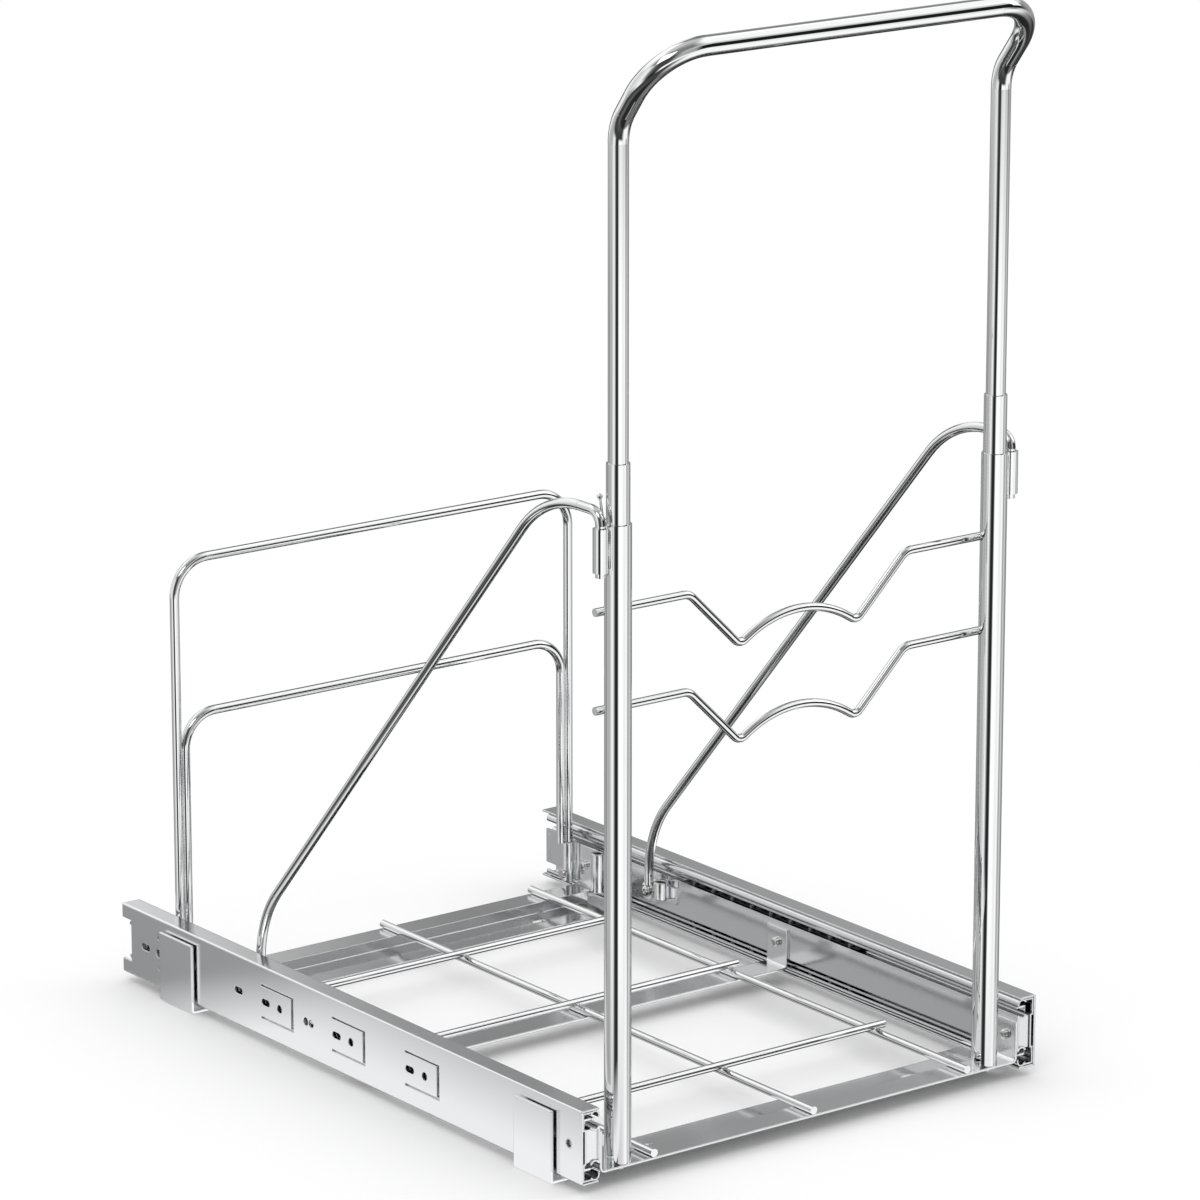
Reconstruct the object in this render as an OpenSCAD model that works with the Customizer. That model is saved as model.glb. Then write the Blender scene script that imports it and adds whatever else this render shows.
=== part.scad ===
// Pull-out frame for a bin: two full-extension slides in floor-mounted rails,
// a wire base with three cross bars, two hoops, two braces, two guards and a
// telescopic handle. Front is -Y, up is +Z, the floor is z = 0.

/* [Rails] */
// Width over the outer walls of both rails
frame_w = 348; // [330:1:420]
// Length of the rails
rail_len = 490; // [470:1:560]
// Height of a rail
rail_h = 46; // [46:0.5:50]
// Depth of a rail's flanges
rail_d = 12.6; // [12.4:0.1:12.8]
// Sheet thickness of a rail
rail_t = 1.2; // [1:0.05:1.3]
// Radius of a rail's outer corners
rail_corner_r = 1; // [0.5:0.1:1.5]
// Height of the rail's underside above the floor
rail_lift = 6; // [5.6:0.1:10]
// Depth of the notch in the wall's rear end
notch_len = 10.1; // [8:0.1:14]
// Height of that notch
notch_h = 27.5; // [16:0.5:30]
// Length of a tongue cut in the wall
tongue_len = 35.5; // [24:0.5:44]
// Height of a tongue
tongue_h = 21; // [16:0.5:24]
// Distance from one tongue to the next
tongue_step = 77.3; // [60:0.1:90]
// Distance of the middle tongue's free end from the rail's rear end
tongue_inset = 271; // [245:0.5:290]
// Width of the cut round a tongue
tongue_cut = 1.5; // [1:0.1:2]
// Radius of the fixing hole in a tongue
tongue_hole_r = 2.7; // [1.5:0.1:3.5]
// Length of a screw slot in the wall
wall_slot_len = 9; // [6:0.5:12]
// Half the width of a screw slot
wall_slot_r = 2.2; // [1.5:0.1:3]
// Distance of the rear screw slot from the rail's rear end
slot_rear_inset = 27; // [23:1:30]
// Distance of the inner screw slot from the rail's rear end
slot_inner_inset = 133; // [124:1:143]
// Distance of the rear rivet and its gauge holes from the rail's rear end
gauge_inset = 42; // [41:0.5:44]
// Radius of the gauge holes
gauge_r = 1.3; // [0.8:0.1:1.6]

/* [Slides] */
// Sheet thickness of the fixed and middle slide members
member_t = 1; // [0.8:0.05:1]
// Sheet thickness of the drawer member
drawer_t = 1.2; // [1:0.05:1.3]
// Thickness of the middle member's flanges
mid_flange_t = 1.5; // [1.3:0.05:1.6]
// Radius of a ball
ball_r = 2.38; // [2.2:0.02:2.4]
// Depth of a ball groove in a flat flange
groove_depth = 0.3; // [0.2:0.02:0.35]
// Running clearance between balls and grooves
ball_gap = 0.05; // [0.03:0.01:0.08]
// Number of balls in a row
ball_count = 9; // [5:1:10]
// Distance between balls in a row
ball_pitch = 20; // [14:1:21]
// Thickness of a ball cage
cage_t = 0.3; // [0.2:0.02:0.34]
// Height of the recess pressed into the fixed member's web
web_recess_h = 22; // [16:0.5:24]
// Distance of that recessed web from the rail's wall
web_recess = 1.6; // [1.3:0.05:1.7]
// Radius of the hollow rivets between rail and fixed member
rivet_r = 3; // [2:0.1:3.4]
// Wall of those rivets
rivet_wall = 0.6; // [0.4:0.05:0.8]
// Distance of the front rivet from the rail's front end
rivet_inset = 12.5; // [9:0.5:16]
// Travel of the carriage from shut to fully open
slide_travel = 450; // [300:5:455]

/* [Floor brackets] */
// Sheet thickness of a bracket
bracket_t = 2; // [1.5:0.1:2.5]
// Length of a bracket along the rail
bracket_len = 36.5; // [30:0.5:40]
// Height of a bracket's plate
bracket_h = 45.4; // [40:0.2:48]
// Length of the foot, measured from the plate's outer face
foot_len = 36; // [32:0.5:44]
// Height of the welding bosses between plate and rail
bracket_standoff = 1.3; // [0.8:0.1:2]
// Distance of the front brackets' middle from the rails' front end
front_bracket_inset = 44; // [38:1:55]
// Distance of the rear brackets' middle from the rails' rear end
rear_bracket_inset = 66; // [65:1:75]
// Radius of the screw holes in a foot
foot_hole_r = 2.3; // [1.5:0.1:3]
// Distance between the two screw holes in a foot
foot_hole_gap = 20; // [14:0.5:24]
// Distance of the foot's screw holes from the foot's inner edge
foot_hole_inset = 8.5; // [6:0.5:12]

/* [Bars] */
// Sheet thickness of the bars
bar_t = 1.5; // [1.2:0.1:2]
// Height of the bars' upper face above the floor
bar_top = 12; // [11.8:0.1:14]
// Width of a bar's upper flange
bar_w = 18.5; // [16:0.1:20]
// Width of the middle bar
mid_bar_w = 20; // [16:0.5:24]
// Drop from the upper to the lower flange of the end bars
bar_drop = 7; // [5:0.1:7.5]
// Width of an end bar's lower flange, riser included
bar_lower_w = 30; // [24:0.5:36]
// Distance of the end bars' lower flange from the tabs
bar_lower_inset = 7; // [5:0.5:20]
// Height of the tabs above the bars' upper face
tab_h = 25; // [20:0.5:28]
// Inner radius of the bend below a tab
tab_bend_r = 2; // [1:0.1:4]
// Distance of the front bar's front edge behind the rail's end
front_bar_inset = 0.5; // [0.5:0.1:4]
// Place of the middle bar's middle
mid_bar_y = -11; // [-30:0.5:10]
// Distance of the rear bar's rear edge from the rails' rear end
rear_bar_inset = 43.5; // [41:0.5:49]
// Distance of the screws from the bars' upper face
screw_rise = 15; // [12:0.5:18]
// Distance of the long slots in the end bars from the rails' outer walls
bar_slot_side = 73; // [59:1:94]
// Length of those slots
bar_slot_len = 10; // [6:0.5:14]
// Half the width of those slots
bar_slot_r = 2; // [1.5:0.1:3]

/* [Base wires] */
// Diameter of the base wires
base_d = 5; // [4:0.1:6]
// Distance of the outer long wires from the rails' outer walls
long_wire_side = 53.7; // [50:0.1:74]
// Distance of the long wires' rear ends from the rails' rear end
long_wire_inset = 42; // [37:0.5:47]
// Distance of the front cross wire from the rails' front end
cross_front_inset = 86.4; // [70:0.2:105]
// Place of the middle cross wire
cross_mid_y = -12; // [-30:0.5:10]
// Distance of the rear cross wire from the rails' rear end
cross_rear_inset = 135.4; // [115:0.2:155]
// Overhang of the cross wires past the outer long wires
cross_overhang = 5; // [3:0.5:10]

/* [Posts and handle] */
// Diameter of a post
post_d = 16; // [15.8:0.1:18]
// Distance of the posts' axes from the rails' outer walls
post_side = 33.1; // [32.5:0.1:39]
// Distance of the posts' axes behind the rail's front end
post_inset = 9; // [9:0.5:12]
// Height of the posts' upper end above the floor
post_top = 397; // [390:1:420]
// Diameter of the sleeves in the posts
sleeve_d = 14; // [13.6:0.1:14.2]
// Length of sleeve that stands out of a post
sleeve_out = 35.5; // [25:0.5:60]
// Length of sleeve inside a post
sleeve_in = 70; // [40:1:120]
// Diameter of the handle tube
handle_d = 12; // [11:0.1:12.4]
// Wall of the handle tube
handle_wall = 1; // [0.8:0.1:1.5]
// Height of the handle bar's axis above the floor
handle_top = 673; // [640:1:720]
// Height of the handle bar above the place where the legs start to lean
lean_drop = 56.4; // [53:0.2:83]
// Angle by which the handle's top leans forward
lean_angle = 37.5; // [25:0.5:45]
// Bend radius where the lean starts
lean_r = 30; // [20:1:40]
// Bend radius of the handle's corners
handle_corner_r = 34; // [24:1:36]
// Length of the legs below the sleeves' upper ends
leg_in = 150; // [110:1:170]
// Downward travel of the handle
handle_down = 170; // [100:5:170]
// Upward travel of the handle
handle_up = 60; // [20:5:65]
// Length of the plugs in the posts' lower ends
post_plug_len = 14; // [10:0.5:20]
// Length of the glides in the legs' lower ends
leg_plug_len = 12; // [8:0.5:20]
// Clearance of fixed fits, on the radius
fit_gap = 0.05; // [0.03:0.01:0.1]
// Running clearance of the legs in the sleeves, on the radius
run_gap = 0.05; // [0.03:0.01:0.1]
// Wire diameter of the spring levers at the sleeves
lever_d = 1.6; // [1.2:0.1:1.8]
// Length of the spring levers
lever_len = 12; // [8:0.5:16]
// Angle of the spring levers round the post, from outwards to the rear
lever_turn = 40; // [30:5:80]
// Lean of the spring levers away from the post
lever_lean = 8; // [2:1:15]
// Radius of the balls on the spring levers
lever_ball_r = 1.7; // [1.2:0.1:2]

/* [Guards] */
// Diameter of the guard wires
guard_d = 5; // [4:0.1:6]
// Height of the upper guard's ends above the floor
upper_guard_z = 343.4; // [335:0.2:350]
// Distance from the upper guard to the lower one
guard_step = 58.7; // [56:0.1:64]
// Overhang of the guards' ends past the posts' axes
guard_overhang = 8.8; // [8.2:0.1:13]
// Depth of the two dips in a guard
guard_dip = 35; // [25:0.5:40]
// Distance of the dips from the frame's middle
dip_x = 43.1; // [36:0.1:50]
// Height of the arch between the dips
arch_rise = 13.1; // [8:0.1:18]
// Straight run between a dip and the arch
arch_run = 2; // [1:0.5:4]
// Slope of the wire into a dip
dip_angle = 44.3; // [38:0.1:52]
// Bend radius above a dip
shoulder_r = 10; // [8:0.5:14]
// Bend radius at the bottom of a dip
dip_r = 6; // [5:0.5:9]

/* [Braces] */
// Diameter of the brace rods
brace_d = 6; // [5:0.1:7]
// Wall of the socket tubes
socket_wall = 1.45; // [1:0.05:1.8]
// Length of the socket tubes on the posts
socket_len = 26; // [18:0.5:32]
// Distance of those sockets' upper ends below the posts' upper ends
socket_drop = 1; // [0:0.5:10]
// Length of rod below a socket
brace_tail = 3; // [1:0.5:6]
// Height of the braces' top run above the floor
brace_top = 405.5; // [404:0.5:425]
// Bend radius above the socket
brace_hook_r = 8; // [7:0.5:10]
// Bend radius at the top of the slope
brace_top_r = 75; // [50:1:80]
// Straight run between those two bends
brace_top_run = 11.4; // [4:0.2:40]
// Bend radius at the foot of the slope
brace_foot_r = 75; // [50:1:80]
// Distance of the braces' upright foot from the rails' rear end
brace_foot_inset = 128; // [123:0.5:133]
// Straight run above the eye at a brace's foot
brace_foot_run = 8; // [4:0.5:14]
// Length of the sheet clips at the braces' feet
brace_clip_len = 29; // [26:0.5:36]
// Height of those clips
brace_clip_h = 11; // [10:0.5:14]
// Radius of the eye at a brace's foot
eye_r = 6; // [5.6:0.1:7]

/* [Hoops] */
// Diameter of the hoop wires
hoop_d = 6; // [5:0.1:6.2]
// Distance of the outer hoop's legs from the rails' outer walls
hoop_side = 19.4; // [19:0.1:24]
// Distance of the hoops from the rails' rear end
hoop_inset = 38; // [33:0.5:39]
// Height of the outer hoop's top above the floor
hoop_top = 283; // [230:1:330]
// Corner radius of the outer hoop
hoop_r = 24; // [16:1:40]
// Height of the inner hoop's top above the floor
inner_hoop_top = 181.5; // [120:0.5:200]
// Corner radius of the inner hoop
inner_hoop_r = 22; // [14:1:36]
// Distance between the two sockets of a hoop clip
hoop_socket_step = 33; // [32:0.5:36]
// Height of the hoop clips
hoop_clip_h = 27; // [20:0.5:30]
// Sheet thickness of the clips
clip_t = 1.2; // [1:0.1:1.5]

/* [Screws] */
// Radius of the machine screws' shafts
screw_r = 2; // [1.5:0.1:2.4]
// Radius of the screw heads
screw_head_r = 3.3; // [3:0.1:4.2]
// Height of the screw heads
screw_head_h = 2.8; // [2:0.1:3]
// Radius of the screws under the posts
post_screw_r = 2.5; // [2:0.1:3]
// Radius of the set screws in the hoop sockets
set_screw_r = 1.5; // [1:0.1:2]

/* [Hidden] */
$fn = 48;
eps = 0.01;
seat_gap = 0.1;
weld_gap = 0.03;
bend_swell = 0.1;
run_lap = 0.05;
cage_gap = 0.08;
row_inset = 0.02;
web_gap = 0.07;
member_gap = 0.7;

half_w = frame_w / 2;
rail_mid_z = rail_lift + rail_h / 2;
rail_front = -rail_len / 2;
rail_back = rail_len / 2;
tongue_y = rail_back - tongue_inset;
tongue_ys = [for (k = [-1:1]) tongue_y + k * tongue_step];
tongue_hole_ys = [for (y = tongue_ys) y + 0.43 * tongue_len];
tongue_slot_ys = [for (y = tongue_ys) y + 0.86 * tongue_len];
slot_ys = concat([rail_back - slot_inner_inset, rail_back - slot_rear_inset], tongue_slot_ys);
rivet_ys = [rail_front + rivet_inset, rail_back - gauge_inset];
front_bracket_y = rail_front + front_bracket_inset;
rear_bracket_y = rail_back - rear_bracket_inset;

// Depths are measured inwards from the outer face of a rail's wall
flank_u = rail_t + seat_gap;
recess_u = rail_t + web_recess;
outer_cage_u = recess_u + member_t + (member_gap - cage_t) / 2;
mid_u = recess_u + member_t + member_gap;
inner_cage_u = mid_u + member_t + member_gap / 2 - cage_t / 2;
ball_u = rail_d - ball_r - row_inset;

// Heights of the ball rows are measured from the rail's middle
groove_r = ball_r + ball_gap;
drawer_u = ball_u + groove_r + web_gap;
drawer_face_u = drawer_u + drawer_t;
drawer_face_x = half_w - drawer_face_u;
outer_ball_v = rail_h / 2 - rail_t - seat_gap - member_t - groove_r;
mid_top_v = outer_ball_v - groove_r + groove_depth;
mid_low_v = mid_top_v - mid_flange_t;
inner_ball_v = mid_low_v + groove_depth - groove_r;
cage_len = (ball_count - 1) * ball_pitch + 20;

member_front = rail_front + 0.5;
mid_front = rail_front + 4;
mid_back = rail_back - 17;
fixed_back = rail_back - 6.2;
drawer_front = rail_front + 0.5;
drawer_back = rail_back - 6.2;
bumper_len = 8;

bar_half = drawer_face_x;
front_bar_y = rail_front + front_bar_inset;
bar_low_z = bar_top - bar_drop;
screw_z = bar_top + screw_rise;
rear_bar_y = rail_back - rear_bar_inset;
front_tab_y = front_bar_y + bar_w / 2;
rear_tab_y = rear_bar_y - bar_w / 2;
bar_screw_ys = [front_tab_y, mid_bar_y, rear_tab_y];
bar_slot_x = half_w - bar_slot_side;
long_wire_x = half_w - long_wire_side;
long_wire_rear = rail_back - long_wire_inset;
cross_ys = [rail_front + cross_front_inset, cross_mid_y, rail_back - cross_rear_inset];

post_x = half_w - post_side;
post_y = rail_front + post_inset;
post_bore_r = sleeve_d / 2 + fit_gap;
sleeve_bore_r = handle_d / 2 + run_gap;
sleeve_top = post_top + sleeve_out;
leg_low = sleeve_top - leg_in;
lean_start = handle_top - lean_drop;
lean_end_z = lean_start + lean_r * sin(lean_angle);
lever_z = post_top + 2.5;
lean_run = (handle_top - lean_end_z) / cos(lean_angle) - handle_corner_r;
handle_reach = lean_r * (1 - cos(lean_angle)) + (lean_run + handle_corner_r) * sin(lean_angle);

socket_bore_r = brace_d / 2 + 0.1;
socket_r = socket_bore_r + socket_wall;
brace_x = post_x + post_d / 2 + socket_r + weld_gap;
brace_foot_y = rail_back - brace_foot_inset;
hoop_socket_bore_r = hoop_d / 2 + 0.1;
hoop_socket_r = hoop_socket_bore_r + socket_wall;
hoop_x = half_w - hoop_side;
hoop_y = rail_back - hoop_inset;
inner_hoop_x = hoop_x - hoop_d - bend_swell / 2 - weld_gap;
clip_face_x = drawer_face_x - bar_t;
spare_socket_y = hoop_y - hoop_socket_step;
hoop_clip_z = screw_z - hoop_clip_h / 2;
brace_screw_z = rail_mid_z + 1;
brace_clip_x = drawer_face_x - clip_t;
eye_x = brace_x - 1.2;
brace_clip_y = brace_foot_y + 7 - brace_clip_len;
brace_spare_r = brace_clip_x - hoop_x + 0.3;
brace_spare_y = brace_foot_y - eye_r - brace_spare_r - 0.5;
brace_clip_z = brace_screw_z + 5 - brace_clip_h;
brace_spare_z = brace_clip_z + 2;
brace_spare_h = brace_clip_h + 1;

base_z = bar_top + base_d / 2 + weld_gap;
cross_z = base_z + base_d + weld_gap;
guard_y = post_y + post_d / 2 + guard_d / 2 + weld_gap;
guard_half = post_x + guard_overhang;

// The origin is the middle of the whole frame's plan at floor height
handle_front = post_y - handle_reach - handle_d / 2;
mid_y = (min(handle_front, rail_front) + rail_back) / 2;

// Moves the model so that the origin is the middle of its plan
module placed() {
    translate([0, -mid_y, 0]) children();
}

// Draws a right-hand piece, or its mirror image on the left
module on_side(s) {
    mirror([s < 0 ? 1 : 0, 0, 0]) children();
}

// Extrudes a section in X and Z along Y, from y0 to y1
module along_y(y0, y1) {
    translate([0, y1, 0]) rotate([90, 0, 0]) linear_extrude(y1 - y0) children();
}

// Turns depth from the wall and height from the rail's middle into X and Z
module in_rail() {
    translate([half_w, rail_mid_z]) mirror([1, 0]) children();
}

// Draws a half section and its mirror image below the rail's middle
module both_halves() {
    children();
    mirror([0, 1]) children();
}

// A cylinder along X from x0 to x1
module pin_x(x0, x1, r) {
    translate([x0, 0, 0]) rotate([0, 90, 0]) cylinder(h = x1 - x0, r = r);
}

// A slot along Y through X from x0 to x1
module slot_x(x0, x1, len, r) {
    for (s = [-1, 1]) translate([0, s * (len / 2 - r), 0]) pin_x(x0, x1, r);
    translate([x0, r - len / 2, -r]) cube([x1 - x0, len - 2 * r, 2 * r]);
}

// A slot along X through Z from z0 to z1
module slot_z(z0, z1, len, r) {
    for (s = [-1, 1]) translate([s * (len / 2 - r), 0, z0]) cylinder(h = z1 - z0, r = r);
    translate([r - len / 2, -r, z0]) cube([len - 2 * r, 2 * r, z1 - z0]);
}

// A bend of a wire that starts along +X and turns to the left
module wire_bend(r, turn, d) {
    translate([0, r, 0]) rotate([0, 0, -90]) rotate_extrude(angle = turn)
        translate([r, 0]) circle(d = d);
}

// A round wire that starts along +X and follows runs, bends and rolls, and may
// end in a ball. Bends are a hair thicker than runs, and each run reaches a
// little way into them.
RUN = 0;
BEND = 1;
ROLL = 2;
BALL = 3;
module wire(steps, d, i = 0) {
    if (i < len(steps)) {
        kind = steps[i][0];
        size = steps[i][1];
        if (kind == RUN) {
            lap_back = i > 0 ? run_lap : 0;
            lap_on = i < len(steps) - 1 ? run_lap : 0;
            translate([-lap_back, 0, 0]) rotate([0, 90, 0])
                cylinder(h = size + lap_back + lap_on, d = d);
            translate([size, 0, 0]) wire(steps, d, i + 1);
        }
        if (kind == ROLL) rotate([size, 0, 0]) wire(steps, d, i + 1);
        if (kind == BALL) sphere(r = size);
        if (kind == BEND) {
            turn = abs(steps[i][2]);
            side = sign(steps[i][2]);
            mirror([0, side < 0 ? 1 : 0, 0]) wire_bend(size, turn, d + bend_swell);
            translate([size * sin(turn), side * size * (1 - cos(turn)), 0])
                rotate([0, 0, side * turn]) wire(steps, d, i + 1);
        }
    }
}

// The rail's plain channel section
module rail_section() {
    difference() {
        union() {
            translate([rail_corner_r, -rail_h / 2]) square([rail_d - rail_corner_r, rail_h]);
            translate([0, rail_corner_r - rail_h / 2])
                square([2 * rail_corner_r, rail_h - 2 * rail_corner_r]);
            both_halves() translate([rail_corner_r, rail_h / 2 - rail_corner_r])
                circle(r = rail_corner_r);
        }
        translate([rail_t, rail_t - rail_h / 2]) square([rail_d, rail_h - 2 * rail_t]);
    }
}

// The cut that leaves a tongue hanging at its rear end
module tongue_cuts(y) {
    wall_x = half_w - 2 * rail_t;
    cut_x = 3 * rail_t;
    for (s = [-1, 1]) translate([wall_x, y, rail_mid_z + s * tongue_h / 2 - tongue_cut / 2])
        cube([cut_x, tongue_len, tongue_cut]);
    translate([wall_x, y, rail_mid_z - tongue_h / 2]) cube([cut_x, 1.8 * tongue_cut, tongue_h]);
}

// The screw slots and tongue holes, through X from x0 to x1
module wall_holes(x0, x1) {
    for (y = slot_ys) translate([0, y, rail_mid_z]) slot_x(x0, x1, wall_slot_len, wall_slot_r);
    for (y = tongue_hole_ys) translate([0, y, rail_mid_z]) pin_x(x0, x1, tongue_hole_r);
    for (y = rivet_ys) translate([0, y, rail_mid_z]) pin_x(x0, x1, rivet_r + fit_gap);
}

module rail(s) {
    pair_inset = 210.2;
    pair_half = 2.9;
    pair_r = 2.6;
    wall_x = half_w - 2 * rail_t;
    cut_x = 3 * rail_t;
    color("silver") on_side(s) difference() {
        along_y(rail_front, rail_back) in_rail() rail_section();
        translate([wall_x, rail_back - notch_len, rail_mid_z - notch_h / 2])
            cube([cut_x, notch_len + 1, notch_h]);
        for (y = tongue_ys) tongue_cuts(y);
        wall_holes(wall_x, wall_x + cut_x);
        for (v = [-10, 10]) translate([0, rail_back - gauge_inset, rail_mid_z + v])
            pin_x(wall_x, wall_x + cut_x, gauge_r);
        for (p = [-1, 1]) translate([0, rail_back - pair_inset + p * pair_half, rail_mid_z])
            pin_x(wall_x, wall_x + cut_x, pair_r);
    }
}

// Half section of the fixed member: web, flank, flange and the hook round a ball row
module fixed_half() {
    hook_rise = 0.4;
    flank_v = web_recess_h / 2 - member_t;
    plate_v = rail_h / 2 - rail_t - seat_gap - member_t - hook_rise;
    translate([recess_u, 0]) square([member_t, web_recess_h / 2]);
    translate([flank_u, flank_v]) square([recess_u + member_t - flank_u, member_t]);
    translate([flank_u, flank_v]) square([member_t, plate_v + member_t - flank_v]);
    translate([flank_u, plate_v]) square([ball_u - 0.62 * groove_r - flank_u, member_t]);
    translate([ball_u, outer_ball_v]) difference() {
        circle(r = groove_r + member_t);
        circle(r = groove_r);
        translate([-3 * groove_r, -2.55 * groove_r]) square(3 * groove_r);
        translate([-eps, -3.5 * groove_r]) square(3 * groove_r);
    }
}

// What is cut off the flanks' rear corners, so that the web ends in a round tab
module web_end_cut() {
    end_r = 3;
    end_half = 13.2;
    cut_half = rail_h / 2 - rail_t - 1;
    cut_x = half_w - recess_u - member_t;
    corner_y = fixed_back - end_r;
    translate([0, 0, rail_mid_z]) difference() {
        translate([cut_x, corner_y, -cut_half]) cube([recess_u + member_t, 2 * end_r, 2 * cut_half]);
        for (p = [-1, 1]) translate([0, corner_y, p * (end_half - end_r)])
            pin_x(cut_x - 1, half_w + 1, end_r);
        translate([cut_x - 1, corner_y - 1, end_r - end_half])
            cube([mid_u + 1, 4 * end_r, 2 * end_half - 2 * end_r]);
    }
}

module fixed_member(s) {
    color("gainsboro") on_side(s) difference() {
        along_y(member_front, fixed_back) in_rail() both_halves() fixed_half();
        wall_holes(half_w - mid_u, half_w - rail_t);
        web_end_cut();
    }
}

// Hollow rivets with a shoulder that keeps the web off the wall, flush at both ends
module rail_rivets() {
    web_x = half_w - recess_u;
    color("silver") for (s = [-1, 1]) on_side(s) for (y = rivet_ys) translate([0, y, rail_mid_z])
        difference() {
            union() {
                pin_x(web_x - member_t, half_w, rivet_r);
                pin_x(web_x + weld_gap, half_w - rail_t - weld_gap, rivet_r + 1);
            }
            pin_x(web_x - member_t - 1, half_w + 1, rivet_r - rivet_wall);
        }
}

// Rubber block that the middle member closes against
module bumper(s) {
    block_h = 2 * (inner_ball_v - groove_r - drawer_t - 0.5);
    color("dimgray") on_side(s) translate([half_w - ball_u, mid_back + 0.4, rail_mid_z - block_h / 2])
        cube([ball_u - recess_u - member_t - weld_gap, bumper_len, block_h]);
}

// L-shaped bracket: plate outside the rail, foot below it
module floor_bracket(s, y) {
    plate_x = half_w + bracket_standoff;
    foot_x = plate_x + bracket_t - foot_len;
    hole_x = foot_x + foot_hole_inset;
    color("lightgray") on_side(s) translate([0, y, 0]) difference() {
        union() {
            along_y(-bracket_len / 2, bracket_len / 2) {
                translate([plate_x, bracket_t]) square([bracket_t, bracket_h - bracket_t]);
                translate([foot_x, 0]) square([foot_len - bracket_t, bracket_t]);
                translate([plate_x, bracket_t]) intersection() {
                    circle(r = bracket_t);
                    translate([0, -bracket_t]) square(bracket_t);
                }
            }
            for (p = [-1, 1]) translate([0, p * bracket_len / 4, rail_mid_z])
                pin_x(half_w + weld_gap, plate_x + eps, 4);
        }
        for (p = [-1, 1]) translate([hole_x, p * foot_hole_gap / 2, -1])
            cylinder(h = bracket_t + 2, r = foot_hole_r);
    }
}

// Half section of the middle member, with a groove on both faces of its flange
module middle_half() {
    difference() {
        union() {
            translate([mid_u, 0]) square([member_t, mid_top_v]);
            translate([mid_u, mid_low_v]) square([ball_u + 0.65 * groove_r - mid_u, mid_flange_t]);
        }
        for (v = [outer_ball_v, inner_ball_v]) translate([ball_u, v]) circle(r = groove_r);
    }
}

module middle_member(s) {
    color("silver") on_side(s) along_y(mid_front, mid_back) in_rail() both_halves() middle_half();
}

// Thin C-shaped strip, with notches in its arms that keep two rows of balls apart
module ball_cage(s, u, v) {
    tip_u = ball_u + ball_r - 0.3;
    color("darkgray") on_side(s) difference() {
        along_y(-cage_len / 2, cage_len / 2) in_rail() both_halves() {
            translate([u, 0]) square([cage_t, v + cage_t / 2]);
            translate([u, v - cage_t / 2]) square([tip_u - u, cage_t]);
        }
        for (p = [-1, 1], k = [0:ball_count - 1])
            translate([half_w - ball_u, (k - (ball_count - 1) / 2) * ball_pitch,
                rail_mid_z + p * v - ball_r]) cylinder(h = 2 * ball_r, r = ball_r + cage_gap);
    }
}

module outer_cage(s) {
    ball_cage(s, outer_cage_u, outer_ball_v);
}

module inner_cage(s) {
    ball_cage(s, inner_cage_u, inner_ball_v);
}

module ball_rows(s, v) {
    color("white") on_side(s) for (p = [-1, 1], k = [0:ball_count - 1])
        translate([half_w - ball_u, (k - (ball_count - 1) / 2) * ball_pitch, rail_mid_z + p * v])
            sphere(r = ball_r);
}

// Half section of the drawer member: web, and the trough under a ball row
module drawer_half() {
    trough_v = -0.35 * groove_r;
    translate([drawer_u, 0]) square([drawer_t, inner_ball_v + trough_v]);
    translate([ball_u, inner_ball_v]) difference() {
        circle(r = groove_r + drawer_t);
        circle(r = groove_r);
        translate([-2 * groove_r, trough_v]) square(4 * groove_r);
    }
}

module drawer_member(s) {
    panel_u = mid_u - 0.4;
    panel_half = inner_ball_v - groove_r + groove_depth;
    rib_half = panel_half - 2;
    rib_r = 1;
    rib_inset = 3.5;
    color("gainsboro") on_side(s) difference() {
        union() {
            along_y(drawer_front, drawer_back) in_rail() both_halves() drawer_half();
            translate([half_w - drawer_u - eps, drawer_front + 1, rail_mid_z - panel_half])
                cube([drawer_u - panel_u, drawer_t, 2 * panel_half]);
            translate([drawer_face_x + 0.4 * rib_r, drawer_back - rib_inset, rail_mid_z - rib_half])
                cylinder(h = 2 * rib_half, r = rib_r);
        }
        for (y = bar_screw_ys) translate([0, y, screw_z])
            pin_x(drawer_face_x - 1, drawer_face_x + drawer_t + 0.5, screw_r + fit_gap);
        translate([0, brace_foot_y, brace_screw_z])
            pin_x(drawer_face_x - 1, drawer_face_x + drawer_t + 0.5, screw_r + fit_gap);
    }
}

// Flat strip with both ends bent up into tabs, from y0 to y1
module tabbed_strip(y0, y1) {
    bend_r = tab_bend_r + bar_t;
    for (s = [-1, 1]) on_side(s) along_y(y0, y1) {
        translate([0, bar_top - bar_t]) square([bar_half - bend_r, bar_t]);
        translate([bar_half - bar_t, bar_top - bar_t + bend_r])
            square([bar_t, tab_h + bar_t - bend_r]);
        translate([bar_half - bend_r, bar_top - bar_t + bend_r]) intersection() {
            difference() {
                circle(r = bend_r);
                circle(r = tab_bend_r);
            }
            translate([0, -bend_r]) square(bend_r);
        }
    }
}

module tab_screw_holes(y) {
    for (s = [-1, 1]) on_side(s) translate([0, y, screw_z])
        pin_x(bar_half - 2 * bar_t, bar_half + 1, screw_r + fit_gap);
}

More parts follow.
